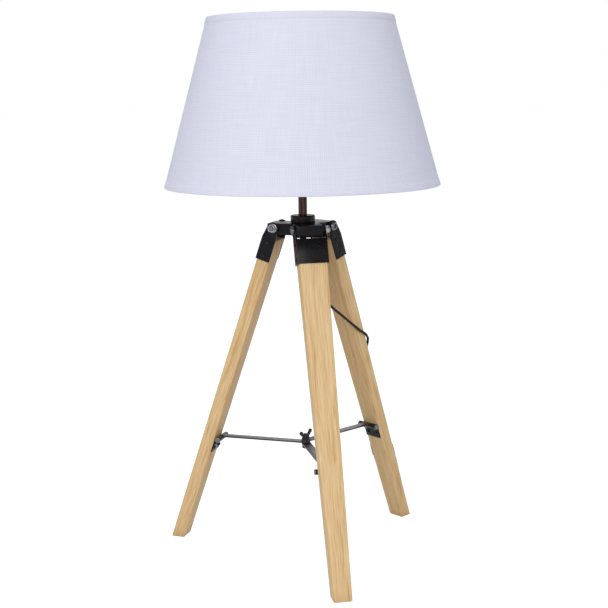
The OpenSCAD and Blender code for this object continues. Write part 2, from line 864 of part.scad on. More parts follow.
// Least distance between turns, between points that are more than a quarter loop apart
hank_least = min([
    for (i = [0 : len(hank_points) - 1], j = [i + loop_rings / 4 : 1 : len(hank_points) - 1])
        norm(hank_points[i] - hank_points[j])
]) - cord_d;
echo(hank_least_gap = hank_least);
echo(lead_length = run_length(smooth(cord_route, 4)), hank_length = run_length(hank_points),
    tail_length = run_length(smooth(tail_route, 4)));

module cord_lead() {
    color("black")
        sweep(smooth(cord_route, 2), cord_r, 8, [1, 0, 0]);
}

module cord_hank() {
    color("black")
        in_hank()
            sweep(hank_points, cord_r, 6, [0, 0, 1]);
}

module cord_tail() {
    color("black")
        in_hank()
            sweep(smooth(tail_route, 2), cord_r, 8, [0, 0, 1]);
}

module tie_outline(grow) {
    wide = hank_out_r * (1 - waist) + cord_r + fit / 2 + grow;
    low = -cord_r - fit / 2 - grow;
    high = tail_top_z - hank_z + cord_r + fit / 2 + grow;
    translate([0, hank_z])
        polygon([
            [hank_lean * low - wide, low], [hank_lean * low + wide, low],
            [hank_lean * high + wide, high], [hank_lean * high - wide, high]
        ]);
}

module cord_tie() {
    color("black")
        in_hank()
            rotate([90, 0, 90])
                linear_extrude(tie_w, center = true)
                    difference() {
                        tie_outline(tie_t);
                        tie_outline(0);
                    }
}

// ---------------------------------------------------------------- plug
module at_plug() {
    in_hank()
        translate([tail_end_x, tail_y, plug_lift])
            rotate([0, 180, 0])
                children();
}

module plug_relief() {
    color("black")
        at_plug()
            rotate([0, 90, 0])
                cylinder(d1 = cord_d + 1.4, d2 = 9, h = plug_relief_l);
}

module plug_body() {
    color("black")
        at_plug()
            translate([plug_relief_l, -plug_w / 2, -plug_h / 2])
                cube([plug_l, plug_w, plug_h]);
}

module plug_blades() {
    color("silver")
        at_plug()
            for (side = [-1, 1])
                translate([plug_relief_l + plug_l, side * blade_gap / 2 - blade_t / 2, -blade_w / 2])
                    cube([blade_l, blade_t, blade_w]);
}

leg(FRONT);  // leg_front
leg(LEFT);  // leg_left
leg(RIGHT);  // leg_right
leg_bracket(FRONT);  // leg_bracket_front
leg_bracket(LEFT);  // leg_bracket_left
leg_bracket(RIGHT);  // leg_bracket_right
bracket_screws();
hub();
collar();
pivot_bolts();
pivot_nuts();
pivot_washers();
pole();
pole_washer();
pole_nut();
strain_relief();
lampholder_cap();
lampholder_body();
lampholder_core();
screw_shell();
centre_contact();
switch_bar();
shade_ring();
bulb_cap();
bulb_globe();
shade_panel();
shade_hem_lower();
shade_hem_upper();
shade_fitter();
shade_top_wire();
strut(FRONT, -1);  // strut_front
strut(LEFT, 0);  // strut_left
strut(RIGHT, 1);  // strut_right
hinge_leaf(FRONT, -1);  // hinge_leaf_front
hinge_leaf(LEFT, 0);  // hinge_leaf_left
hinge_leaf(RIGHT, 1);  // hinge_leaf_right
hinge_pins();
leaf_screws();
centre_bolt();
centre_washers();
wing_nut();
cord_lead();
cord_hank();
cord_tie();
cord_tail();
plug_relief();
plug_body();
plug_blades();
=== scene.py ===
"""Tripod table lamp: pale wooden legs in a black steel hub, a strip spreader and a white fabric shade."""
import math

import bmesh
import bpy
import numpy as np
from mathutils import Matrix, Vector


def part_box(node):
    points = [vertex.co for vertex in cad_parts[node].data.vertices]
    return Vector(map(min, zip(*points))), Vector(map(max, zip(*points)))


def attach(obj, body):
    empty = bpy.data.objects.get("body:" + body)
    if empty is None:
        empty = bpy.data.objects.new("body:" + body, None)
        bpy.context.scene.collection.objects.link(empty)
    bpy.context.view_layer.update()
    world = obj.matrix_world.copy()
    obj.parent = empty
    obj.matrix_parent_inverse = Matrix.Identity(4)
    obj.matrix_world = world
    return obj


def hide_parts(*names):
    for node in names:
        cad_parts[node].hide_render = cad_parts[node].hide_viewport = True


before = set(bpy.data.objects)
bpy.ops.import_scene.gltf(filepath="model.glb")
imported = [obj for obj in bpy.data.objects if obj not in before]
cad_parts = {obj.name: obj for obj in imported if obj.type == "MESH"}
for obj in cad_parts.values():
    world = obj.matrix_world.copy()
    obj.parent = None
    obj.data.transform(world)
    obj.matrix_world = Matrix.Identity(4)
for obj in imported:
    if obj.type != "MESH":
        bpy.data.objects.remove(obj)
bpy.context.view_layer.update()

MM = 0.001

# ---------------------------------------------------------------- camera and studio
# The photograph: taken from a little above the shade's lower rim, looking slightly down, with the
# front leg turned to the right. A plain white sweep, soft lights on four sides and a pale room.
camera_at = Vector((-0.2997, -1.3278, 0.5191))
ahead = Vector((0.2169, 0.9611, -0.1711)).normalized()
across = Vector((0.97546, -0.22018, 0.0))
under = ahead.cross(across).normalized()
roll = math.radians(0.781)
right = across * math.cos(roll) + under * math.sin(roll)
up = across * math.sin(roll) - under * math.cos(roll)
camera = bpy.data.objects.new("photo_camera", bpy.data.cameras.new("photo_camera"))
camera.data.sensor_width = 36.0
camera.data.lens = 73.64
camera.data.clip_start = 0.05
camera.data.clip_end = 60.0
camera.matrix_world = Matrix.Translation(camera_at) @ Matrix((right, up, -ahead)).transposed().to_4x4()
bpy.context.scene.collection.objects.link(camera)
bpy.context.scene.camera = camera
bpy.context.scene.view_settings.view_transform = "Standard"


def paint(code):
    """The linear colour of an sRGB hex value."""
    c = np.array([int(code[i:i + 2], 16) for i in (1, 3, 5)]) / 255.0
    c = np.where(c <= 0.04045, c / 12.92, ((c + 0.055) / 1.055) ** 2.4)
    return (*(float(v) for v in c), 1.0)


def add(tree, kind, values=None, **settings):
    """Adds one node: settings are its properties, values its inputs, each a value or a socket to link."""
    node = tree.nodes.new("ShaderNode" + kind)
    for key, value in settings.items():
        setattr(node, key, value)
    for key, value in (values or {}).items():
        if isinstance(value, bpy.types.NodeSocket):
            tree.links.new(value, node.inputs[key])
        else:
            node.inputs[key].default_value = value
    return node


def new_material(name):
    """An empty node material and its tree."""
    made = bpy.data.materials.new(name)
    made.use_nodes = True
    made.node_tree.nodes.clear()
    return made, made.node_tree


def seen_directly(tree):
    """One for rays from the camera, off gloss or through glass, and nought for the light that falls
    on things: the greatest of the three."""
    rays = add(tree, "LightPath").outputs
    either = add(tree, "Math", {0: rays["Is Camera Ray"], 1: rays["Is Glossy Ray"]}, operation="MAXIMUM")
    any_of = add(tree, "Math", {0: either.outputs[0], 1: rays["Is Transmission Ray"]}, operation="MAXIMUM")
    return any_of.outputs[0]


world = bpy.data.worlds.new("pale_room")
bpy.context.scene.world = world
world.use_nodes = True
tree = world.node_tree
tree.nodes.clear()
room = add(tree, "Background", {"Color": paint("#f4f6ff"), "Strength": 0.50})
backdrop = add(tree, "Background", {"Color": paint("#ffffff"), "Strength": 1.0})
both = add(tree, "MixShader", {0: seen_directly(tree), 1: room.outputs[0], 2: backdrop.outputs[0]})
add(tree, "OutputWorld", {"Surface": both.outputs[0]})

# Matt paper: grey, so that it keeps the lamp's shadow, with a glow that brings it to white where it
# is seen.
white_paper, tree = new_material("white_paper_sweep")
glow = add(tree, "Math", {0: seen_directly(tree), 1: 0.74}, operation="MULTIPLY")
paper = add(tree, "BsdfDiffuse", {"Color": paint("#c8c8c8"), "Roughness": 1.0})
lit = add(tree, "Emission", {"Color": paint("#ffffff"), "Strength": glow.outputs[0]})
both = add(tree, "AddShader", {0: paper.outputs[0], 1: lit.outputs[0]})
add(tree, "OutputMaterial", {"Surface": both.outputs[0]})
reach = 30.0
corners = [(-reach, -reach, 0), (reach, -reach, 0), (reach, reach, 0), (-reach, reach, 0)]
sweep = bpy.data.meshes.new("studio_floor")
sweep.from_pydata(corners, [], [(0, 1, 2, 3)])
sweep.materials.append(white_paper)
floor = bpy.data.objects.new("studio_floor", sweep)
bpy.context.scene.collection.objects.link(floor)

lamp_middle = Vector((0, 0, 0.3))


def softbox(name, at, size, watts, colour):
    """A square area light that faces the middle of the lamp."""
    data = bpy.data.lights.new(name, "AREA")
    data.shape = "SQUARE"
    data.size = size
    data.energy = watts
    data.color = paint(colour)[:3]
    light = bpy.data.objects.new(name, data)
    turn = (lamp_middle - Vector(at)).to_track_quat("-Z", "Y")
    light.matrix_world = Matrix.Translation(at) @ turn.to_matrix().to_4x4()
    bpy.context.scene.collection.objects.link(light)


softbox("front_softbox", (-0.75, -2.2, 1.25), 1.5, 30.0, "#fffdfa")
softbox("left_softbox", (-2.4, 0.2, 1.1), 1.2, 7.0, "#f2f5ff")
softbox("right_softbox", (2.3, -0.6, 1.0), 1.2, 4.0, "#f6f8ff")
softbox("back_softbox", (0.9, 2.0, 1.6), 1.2, 10.0, "#ffffff")

# ---------------------------------------------------------------- cord
# A thin black PVC lead. It leaves the sleeve under the hub, passes the near side of the right leg,
# goes round it and down its outer face, and is put away in a tied hank behind that leg.
cord_wide = 3.0
lead_marks = np.array([
    (0, 0, 335), (0.3, 0, 329), (1.8, -0.4, 321), (5, -0.8, 312), (10, -1.3, 303),
    (16.3, -1.8, 294), (23.5, -2, 285.5), (30.7, -1.4, 278.6), (38.5, 2.8, 271.6), (46.5, 7.6, 265),
    (54.5, 12.4, 258), (62.5, 17.2, 251.4), (70, 21.6, 245), (76.2, 25.5, 240.9), (80.1, 28.2, 236.7),
    (82.1, 30.9, 232.2), (82.4, 34.8, 225.6), (82.3, 40.5, 217.7), (82.9, 44.9, 209.9), (85.5, 48.2, 198),
    (90.5, 52.2, 180), (99.5, 57.4, 150), (108.5, 62.6, 120), (117.4, 67.8, 90), (126.3, 72.9, 60),
    (133.5, 77.1, 36), (137.9, 79.8, 22), (141.8, 83.2, 12), (144.6, 87.5, 6), (147, 92.5, 3),
    (149, 98.5, 1.7), (151.5, 107, 1.5), (155.1, 120.8, 1.5), (162.1, 150.6, 1.5), (169.1, 180.4, 1.5),
    (176.1, 210.1, 1.5), (182.8, 239.6, 1.5), (187.8, 261.1, 1.6), (191.3, 276.4, 1.9), (194.35, 289.64, 2.2),
])
# The hank lies along its bearing, in layers of one and a half turns: straight runs of 60 mm between
# folds whose radius is 9 mm at the least, with a straight stub before and after. turn_back puts each
# climb to the next layer on a straight run, spare is the gap from cord to cord, lean the pile's shift
# to one side for its height, and waist the part by which the band draws it in.
bearing = np.array([0.229, 0.9734])
layers, layer_turns, turn_back, waist = 4, 1.5, 0.125, 0.03
hank_run, fold_r, stub, spare, lean = 60.0, 9.0, 3.0, 0.47, 0.25
hank_turns = layers * layer_turns - 0.25
step_out = (cord_wide + spare) / (1 - waist)
step_up = cord_wide + spare
out_r = fold_r + layer_turns * step_out
start_r = out_r + turn_back * step_out
end_r = out_r - (turn_back + 0.25) * step_out
base_z = lead_marks[-1, 2]
top_z = base_z + (layers - 1) * step_up


def smooth_through(marks, parts):
    """Each span is the cubic through its two marks whose end slopes are half the step between the
    marks either side."""
    p = np.vstack([marks[:1], marks, marks[-1:]])
    t = (np.arange(parts) / parts)[None, :, None]
    a, b, c, d = (p[k:len(p) - 3 + k, None, :] for k in range(4))
    square = (2 * a - 5 * b + 4 * c - d) * t ** 2
    cube = (3 * b - 3 * c + d - a) * t ** 3
    out = 0.5 * (2 * b + (c - a) * t + square + cube)
    return np.vstack([out.reshape(-1, 3), marks[-1:]])


def wound(turns):
    """A point of the hank for each count of turns: two straight runs and two half-circle folds whose
    radius goes in and out at a steady rate, while the height climbs a layer along a run. The pile
    leans to one side by a quarter of its height."""
    n = (turns - turn_back) / layer_turns
    near = np.clip(np.round(n), 1, layers - 1)
    layer = near - 0.5 + np.clip((turns - turn_back - near * layer_turns) * 4, -0.5, 0.5)
    high = layer * step_up
    phase = n - 2 * np.floor(np.maximum(n, 0) / 2)
    r = out_r - step_out * layer_turns * np.where(phase < 1, phase, 2 - phase)
    k = (turns - np.floor(turns)) * 4
    q, f = np.floor(k), k - np.floor(k)
    half = hank_run / 2
    x = np.select([q == 0, q == 1, q == 2], [-half + hank_run * f, half, half - hank_run * f], -half)
    a = np.radians(np.select([q == 0, q == 1, q == 2], [-90, -90 + 180 * f, 90], 90 + 180 * f))
    drawn = 1 - waist * np.cos(np.pi / 2 * np.minimum(1, np.abs(x) / half)) ** 2
    return np.stack([x + r * np.cos(a), r * np.sin(a) * drawn + lean * high, base_z + high], 1)


def laid(points):
    """Turns points of the hank's own frame onto the table behind the right leg."""
    left = np.array([-bearing[1], bearing[0]])
    middle = lead_marks[-1, :2] + (hank_run / 2 + stub) * bearing + start_r * left
    p = np.array(points, float)
    return np.column_stack([middle + p[:, :1] * bearing + p[:, 1:2] * left, p[:, 2]])


tail_x, tail_y, plug_up = -hank_run / 2 - stub, 0.0, 6.5
tail_out = end_r + lean * (top_z - base_z)
tail_marks = np.array([
    (tail_x, tail_out, top_z), (tail_x - 4, tail_out, top_z), (tail_x - 9, 15, 12.2),
    (tail_x - 15, 12.9, 11.3), (tail_x - 21, 9, 10), (tail_x - 28, 4.4, 8.2), (tail_x - 34, 1.3, 7.1),
    (tail_x - 40, tail_y, plug_up), (tail_x - 44, tail_y, plug_up),
])
span_parts, turn_parts = 6, 48
turns = np.arange(0, hank_turns - 1e-6, 1 / turn_parts)
route = np.vstack([
    smooth_through(lead_marks, span_parts)[:-1],
    laid(wound(turns)),
    laid(smooth_through(tail_marks, span_parts)),
]) * MM


def mesh_object(name, points, faces, uv=None, marks=None, sharp=40.0):
    """Puts arrays of points and faces into a mesh, with a value of uv for each face corner and named
    vectors for each point, and shades it smooth below the sharp angle."""
    mesh = bpy.data.meshes.new(name)
    mesh.from_pydata(points, [], faces)
    if uv is not None:
        layer = mesh.uv_layers.new(name="cloth_metres")
        layer.data.foreach_set("uv", np.asarray(uv, np.float32).ravel())
    for key, value in (marks or {}).items():
        data = mesh.attributes.new(key, "FLOAT_VECTOR", "POINT")
        data.data.foreach_set("vector", np.asarray(value, np.float32).ravel())
    mesh.polygons.foreach_set("use_smooth", np.ones(len(mesh.polygons), bool))
    mesh.set_sharp_from_angle(angle=math.radians(sharp))
    made = bpy.data.objects.new(name, mesh)
    bpy.context.scene.collection.objects.link(made)
    return made


def grid_faces(rows, cols, over=False):
    """Quads of a rows by cols grid of points whose columns join up, and its rows too if over."""
    i, j = np.meshgrid(np.arange(rows if over else rows - 1), np.arange(cols), indexing="ij")
    row, col = i.ravel() * cols, j.ravel()
    next_row, next_col = (i.ravel() + 1) % rows * cols, (col + 1) % cols
    return np.stack([row + col, row + next_col, next_row + next_col, next_row + col], 1).tolist()


def capped_faces(rows, cols):
    """The quads of a grid whose columns join up, with a flat cap on its first and last row."""
    ring = np.arange(cols)
    return grid_faces(rows, cols) + [ring[::-1].tolist(), (ring + (rows - 1) * cols).tolist()]


def tube(name, path, radius, sides):
    """A round tube: a ring square to the path at each of its points, carried along with no twist,
    with a flat cap at each end."""
    t = np.gradient(path, axis=0)
    t /= np.linalg.norm(t, axis=1)[:, None]
    n = np.empty_like(path)
    square = np.array([1.0, 0, 0])
    for i in range(len(path)):
        square = square - square @ t[i] * t[i]
        square = square / np.linalg.norm(square)
        n[i] = square
    b = np.cross(t, n)
    a = (np.arange(sides) * 2 * np.pi / sides)[None, :, None]
    ring = path[:, None] + radius * (np.cos(a) * n[:, None] + np.sin(a) * b[:, None])
    return mesh_object(name, ring.reshape(-1, 3), capped_faces(len(path), sides))


def surface_of(name, colour, rough, grain, bump, metal=0.0, gloss=0.5, **more):
    """A principled finish with a fine random texture: grain is its size and bump its height in
    millimetres, and its roughness wanders by 0.06 either way."""
    made, tree = new_material(name)
    place = add(tree, "TexCoord")
    fleck = add(tree, "TexNoise", {
        "Vector": place.outputs["Object"], "Scale": 1000 / grain, "Detail": 3.0,
    })
    dull = add(tree, "MapRange", {
        "Value": fleck.outputs["Fac"], "From Min": 0.3, "From Max": 0.7,
        "To Min": rough - 0.06, "To Max": rough + 0.06,
    })
    dent = add(tree, "Bump", {"Height": fleck.outputs["Fac"], "Strength": 0.6, "Distance": bump * MM})
    shader = add(tree, "BsdfPrincipled", {
        "Base Color": paint(colour), "Roughness": dull.outputs[0], "Metallic": metal,
        "Normal": dent.outputs[0], "Specular IOR Level": gloss, **more,
    })
    add(tree, "OutputMaterial", {"Surface": shader.outputs[0]})
    return made


# Extruded soft PVC: near black, with a low even sheen and a faint drawn texture.
cord_pvc = surface_of("extruded_black_pvc", "#180f0f", 0.42, grain=0.7, bump=0.05, gloss=0.2)
cord = tube("mains_cord", route, cord_wide / 2 * MM, 10)
cord.data.materials.append(cord_pvc)
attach(cord, "stand")
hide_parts("cord_lead", "cord_hank", "cord_tail")

# ---------------------------------------------------------------- cord ends
# The moulded sleeve at the pole, the slim two-blade plug with its relief, and the soft band that
# ties the hank. The PVC ones are moulded onto the cord, and the band is wrapped round it.


def turned(name, profile, sides=64):
    """A lathe shape: the profile's radius and height pairs, from a point on the pole's axis up to
    another, carried round that axis."""
    p = np.array(profile, float)
    rows = len(p) - 2
    r, z = p[1:-1, :1], p[1:-1, 1:]
    a = np.arange(sides) * 2 * np.pi / sides
    ring = np.stack([r * np.cos(a), r * np.sin(a), np.repeat(z, sides, 1)], -1).reshape(-1, 3)
    points = np.vstack([ring, [0, 0, p[0, 1]], [0, 0, p[-1, 1]]]) * MM
    this, after = np.arange(sides), (np.arange(sides) + 1) % sides
    last = (rows - 1) * sides
    foot, head = np.full(sides, rows * sides), np.full(sides, rows * sides + 1)
    faces = grid_faces(rows, sides)
    faces += np.stack([foot, after, this], 1).tolist()
    faces += np.stack([head, last + this, last + after], 1).tolist()
    return mesh_object(name, points, faces, sharp=35.0)


def eased(name, node, wide, cuts=2):
    """A copy of a CAD solid with its triangles merged into flat faces, and each edge that turns more
    than 28 degrees rounded by wide mm. Edges that then turn less than 34 degrees are shaded smooth."""
    work = bmesh.new()
    work.from_mesh(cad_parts[node].data)
    bmesh.ops.remove_doubles(work, verts=work.verts, dist=2e-6)
    bmesh.ops.dissolve_limit(work, angle_limit=math.radians(0.6), verts=work.verts, edges=work.edges)
    turn = math.radians(28.0)
    edges = [e for e in work.edges if e.is_manifold and e.calc_face_angle() > turn]
    if wide:
        bmesh.ops.bevel(work, geom=edges, offset=wide * MM, segments=cuts, profile=0.5,
                        affect="EDGES", clamp_overlap=True)
    mesh = bpy.data.meshes.new(name)
    work.to_mesh(mesh)
    work.free()
    mesh.polygons.foreach_set("use_smooth", np.ones(len(mesh.polygons), bool))
    mesh.set_sharp_from_angle(angle=math.radians(34))
    made = bpy.data.objects.new(name, mesh)
    bpy.context.scene.collection.objects.link(made)
    return made


def fit(piece, body, nodes, finish):
    """Gives a piece its finish and body, and hides the CAD nodes that it stands for."""
    piece.data.materials.append(finish)
    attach(piece, body)
    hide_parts(*nodes)


# Moulded PVC: a softer black than the cord's, with a fine even grain from the mould.
moulded_black = surface_of("moulded_black_pvc", "#121112", 0.38, grain=0.9, bump=0.06, gloss=0.25)
pole_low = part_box("pole")[0][2] / MM
sleeve_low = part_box("strain_relief")[0][2] / MM
ribs = 6
rib_z = np.linspace(sleeve_low + 3, pole_low - 5, 4 * ribs + 1)
widening = (rib_z - sleeve_low) / (pole_low - sleeve_low)
rib_r = 2.5 + 1.1 * widening + 0.16 * np.cos(np.arange(4 * ribs + 1) * np.pi / 2)
sleeve = turned("cord_sleeve", [
    (0, sleeve_low), (1.9, sleeve_low), (2.2, sleeve_low + 0.5), *zip(rib_r, rib_z),
    (3.6, pole_low - 2.2), (5.2, pole_low - 2), (5.6, pole_low - 1.6), (5.6, pole_low - 0.2),
    (5.3, pole_low), (0, pole_low),
])
fit(sleeve, "stand", ["strain_relief"], moulded_black)


def wave_scale(pitch):
    """The wave texture repeats 20 times in 2 pi of its space: the scale for a pitch in millimetres."""
    return 2 * math.pi / 20 / (pitch * MM)


# Woven nylon: dull black with a coarse cross rib, 1 mm from rib to rib.
nylon_band, tree = new_material("woven_black_nylon")
place = add(tree, "TexCoord")
rib = add(tree, "TexWave", {
    "Vector": place.outputs["Object"], "Scale": wave_scale(1.0472), "Distortion": 1.0,
}, bands_direction="Z")
dent = add(tree, "Bump", {"Height": rib.outputs["Fac"], "Strength": 0.7, "Distance": 0.15 * MM})
shader = add(tree, "BsdfPrincipled", {
    "Base Color": paint("#1d1d1f"), "Roughness": 0.85, "Normal": dent.outputs[0],
})
add(tree, "OutputMaterial", {"Surface": shader.outputs[0]})
band = eased("hank_band", "cord_tie", 0.35)
fit(band, "stand", ["cord_tie"], nylon_band)

plug = eased("plug_housing", "plug_body", 2.2, cuts=4)
fit(plug, "stand", ["plug_body"], moulded_black)
plug_tail = eased("plug_sleeve", "plug_relief", 0.3)
fit(plug_tail, "stand", ["plug_relief"], moulded_black)
# Rolled brass: yellow metal with a smooth low grain.
blade_brass = surface_of("rolled_brass_contact", "#c9b184", 0.28, grain=2.0, bump=0.02, metal=1.0)
blades = eased("plug_contacts", "plug_blades", 0.4)
fit(blades, "stand", ["plug_blades"], blade_brass)

# ---------------------------------------------------------------- legs
# Solid beech boards that taper to the foot, planed, with their long edges just broken by sanding,
# cut level where they stand, and sealed with a clear matt lacquer.
foot_reach, pivot_reach, pivot_high = 156.5, 29.6, 368.5    # a leg's middle at the table and at its bolt
splay = math.atan((foot_reach - pivot_reach) / pivot_high)
leg_turns = {"front": -90.0, "left": 150.0, "right": 30.0}
bolt_over_bracket, bracket_deep, board_in = 11, 27, 2
bracket_low = math.hypot(foot_reach - pivot_reach, pivot_high) - bolt_over_bracket - bracket_deep
leg_end = bracket_low + bracket_deep - board_in
half_deep, half_foot, half_taper, edge_r = 7.5, 10.0, 5.5, 1.3


def from_leg(points, turn):
    """Leg coordinates, x out, y across and z up the leg, in millimetres, to the lamp's in metres."""
    p = np.asarray(points, float)
    c, s = math.cos(splay), math.sin(splay)
    r, t, z = foot_reach + p[..., 0] * c - p[..., 2] * s, p[..., 1], p[..., 0] * s + p[..., 2] * c
    a = math.radians(turn)
    return np.stack([r * math.cos(a) - t * math.sin(a), r * math.sin(a) + t * math.cos(a), z], -1) * MM


def rounded_sections(deep, wide, corner):
    """Rectangles with round corners, one for each entry of the arrays: each corner is a quarter
    circle round a point set in by corner."""
    a = np.radians(np.add.outer([0, 90, 180, 270], np.linspace(0, 90, 5)).ravel())
    along, across = np.repeat([1, -1, -1, 1], 5), np.repeat([1, 1, -1, -1], 5)
    deep, wide, corner = deep[:, None], wide[:, None], corner[:, None]
    x = along * (deep - corner) + corner * np.cos(a)
    y = across * (wide - corner) + corner * np.sin(a)
    return np.stack([x, y], -1)


def board(name, turn, seed):
    """A tapered board: round-cornered sections up the leg, the lowest two on the table's plane and
    0.9 mm over it, so the foot is cut level. Both ends are drawn in a little, as sanding leaves them."""
    up = np.concatenate([[0, 0], np.linspace(12, bracket_low, 24), [leg_end - 0.8, leg_end]])
    drawn_in = np.zeros(len(up))
    drawn_in[[0, -1]] = 0.7, 0.8
    half = half_foot + half_taper * np.minimum(1, up / bracket_low)
    section = rounded_sections(half_deep - drawn_in, half - drawn_in, edge_r - np.minimum(drawn_in, 0.6))
    rows, cols = section.shape[:2]
    level = np.repeat(up[:, None], cols, 1)
    level[:2] = np.array([[0.0], [0.9]]) - section[:2, :, 0] * math.tan(splay)
    points = np.dstack([section, level]).reshape(-1, 3)
    grain = (points + seed * np.array([31.0, 17.0, 700.0])) * MM
    return mesh_object(name, from_leg(points, turn), capped_faces(rows, cols),
                       marks={"board_grain": grain}, sharp=50)


# Beech: pale straw with a warm cast, long faint growth lines and short dark ray flecks. Growth lines
# are about 4 mm apart and waver along the board. Fibres and flecks are drawn 1 and 1.6 mm wide, far
# coarser than they are, so that they show.
beech, tree = new_material("lacquered_beech")
waver_gap, growth_gap, fibre_gap, fleck_gap = 111.11, 3.846, 0.909, 1.613
grain = add(tree, "Attribute", attribute_name="board_grain", attribute_type="GEOMETRY").outputs["Vector"]
waver = add(tree, "TexNoise", {"Vector": grain, "Scale": 1000 / waver_gap, "Detail": 2.0})
swerve = add(tree, "VectorMath", {0: waver.outputs["Color"], "Scale": 0.012}, operation="SCALE")
lines_at = add(tree, "VectorMath", {0: grain, 1: swerve.outputs[0]}, operation="ADD")
lines_at = add(tree, "Mapping", {"Vector": lines_at.outputs[0], "Scale": (1.0, 1.0, 0.02)})
lines = add(tree, "TexNoise", {
    "Vector": lines_at.outputs[0], "Scale": 1000 / growth_gap, "Detail": 4.0, "Roughness": 0.62,
})
fibre_at = add(tree, "Mapping", {"Vector": grain, "Scale": (1.0, 1.0, 0.035)})
fibres = add(tree, "TexNoise", {"Vector": fibre_at.outputs[0], "Scale": 1000 / fibre_gap, "Detail": 3.0})
flecks = add(tree, "TexVoronoi", {"Vector": fibre_at.outputs[0], "Scale": 1000 / fleck_gap})
fleck_dark = add(tree, "MapRange", {
    "Value": flecks.outputs["Distance"], "From Min": 0.05, "From Max": 0.22, "To Min": 0.16, "To Max": 0.0,
})
tone = add(tree, "Math", {0: lines.outputs["Fac"], 1: fibres.outputs["Fac"]}, operation="ADD")
tone = add(tree, "Math", {0: tone.outputs[0], 1: fleck_dark.outputs[0]}, operation="SUBTRACT")
tone = add(tree, "MapRange", {"Value": tone.outputs[0], "From Min": 0.72, "From Max": 1.28})
wood = add(tree, "ValToRGB", {"Fac": tone.outputs[0]})
wood.color_ramp.elements[0].color = paint("#cda36b")
wood.color_ramp.elements[1].color = paint("#f2d4a3")
wood.color_ramp.elements.new(0.45).color = paint("#e7c38e")
dent = add(tree, "Bump", {"Height": fibres.outputs["Fac"], "Strength": 0.35, "Distance": 0.06 * MM})
dull = add(tree, "MapRange", {"Value": fibres.outputs["Fac"], "To Min": 0.42, "To Max": 0.6})
shader = add(tree, "BsdfPrincipled", {
    "Base Color": wood.outputs["Color"], "Roughness": dull.outputs[0], "Normal": dent.outputs[0],
    "Specular IOR Level": 0.2,
})
add(tree, "OutputMaterial", {"Surface": shader.outputs[0]})
for seed, (side, turn) in enumerate(leg_turns.items()):
    fit(board("leg_board_" + side, turn, seed), "stand", ["leg_" + side], beech)

# ---------------------------------------------------------------- hub, collar and leg brackets
# Mild steel sheet, pressed and folded, with a satin black powder coat. The hub's arms carry a
# folded skirt; each bracket is a U that wraps the top of its leg and is screwed to it.
# Powder coat: a deep black with a satin gloss and a faint orange peel, 1.3 mm from dimple to dimple.
powder_coat = surface_of("black_powder_coated_steel", "#0d0d10", 0.30, grain=1.3, bump=0.05, gloss=0.16)
for side in leg_turns:
    bracket = eased("folded_bracket_" + side, "leg_bracket_" + side, 0.45)
    fit(bracket, "stand", ["leg_bracket_" + side], powder_coat)
fit(eased("pressed_hub", "hub", 0.7, cuts=3), "stand", ["hub"], powder_coat)
fit(eased("hub_collar", "collar", 0.5, cuts=3), "stand", ["collar"], powder_coat)

# ---------------------------------------------------------------- bolts, nuts and screws
# Plated steel fixings, cold headed with soft edges: bright at the pivots' nuts and under the hub,
# painted darker in the pivots' heads and the hinges' pins, and black in the wood screws and the spreader's
# clamp.
# Zinc plate is a pale mirror blurred by its plating. Its darker copy is painted shade, for the dark
# reflections in the heads and pins. In black, it is nearly all dark coat with a little metal under it.
zinc = surface_of("bright_zinc_plate", "#98999c", 0.24, grain=1.6, bump=0.01, metal=1.0)
# Painted shade: the same zinc plate made darker, for the dark reflections in the pivots' heads and hinge
# pins.
zinc_painted_darker = surface_of("zinc_plate_painted_darker", "#6b6b6f", 0.3, grain=1.6, bump=0.02, metal=1.0)
black_zinc = surface_of("black_zinc_plate", "#1b1b1d", 0.34, grain=1.2, bump=0.03, metal=0.3, gloss=0.3)
for piece, node, wide, finish, slot in (
    ("pivot_screws", "pivot_bolts", 0.45, zinc_painted_darker, "bright_hardware"),
    ("pivot_lock_nuts", "pivot_nuts", 0.4, zinc, "bright_hardware"),
    ("pivot_rings", "pivot_washers", 0.2, zinc, "bright_hardware"),
    ("cheek_screws", "bracket_screws", 0.2, black_zinc, "dark_hardware"),
    ("hinge_rivets", "hinge_pins", 0.3, zinc_painted_darker, "bright_hardware"),
    ("leaf_fixings", "leaf_screws", 0.3, black_zinc, "dark_hardware"),
    ("pole_ring", "pole_washer", 0.25, zinc, "bright_hardware"),
    ("pole_lock_nut", "pole_nut", 0.4, zinc, "bright_hardware"),
):
    fit(eased(piece, node, wide), "stand", [node], finish)

# ---------------------------------------------------------------- pole
# Steel lamp tube, drawn to size and plated in dark nickel over the marks that the die left. The
# collar holds it upright on the hub, with a nut under the hub's sheet.
# Dark nickel: brown-black metal whose light and dark streaks along the tube, drawn 2.4 mm wide, are painted
# reflections. The same noise gives the die lines' faint bump.
nickel_with_painted_reflections, tree = new_material("dark_nickel_with_painted_reflections")
reflection_streak_gap = 2.381
place = add(tree, "TexCoord")
reflection_streak_place = add(tree, "Mapping", {"Vector": place.outputs["Object"], "Scale": (1.0, 1.0, 0.02)})
drawn = add(tree, "TexNoise", {"Vector": reflection_streak_place.outputs[0], "Scale": 1000 / reflection_streak_gap, "Detail": 3.0})
tone = add(tree, "MapRange", {"Value": drawn.outputs["Fac"], "From Min": 0.34, "From Max": 0.66})
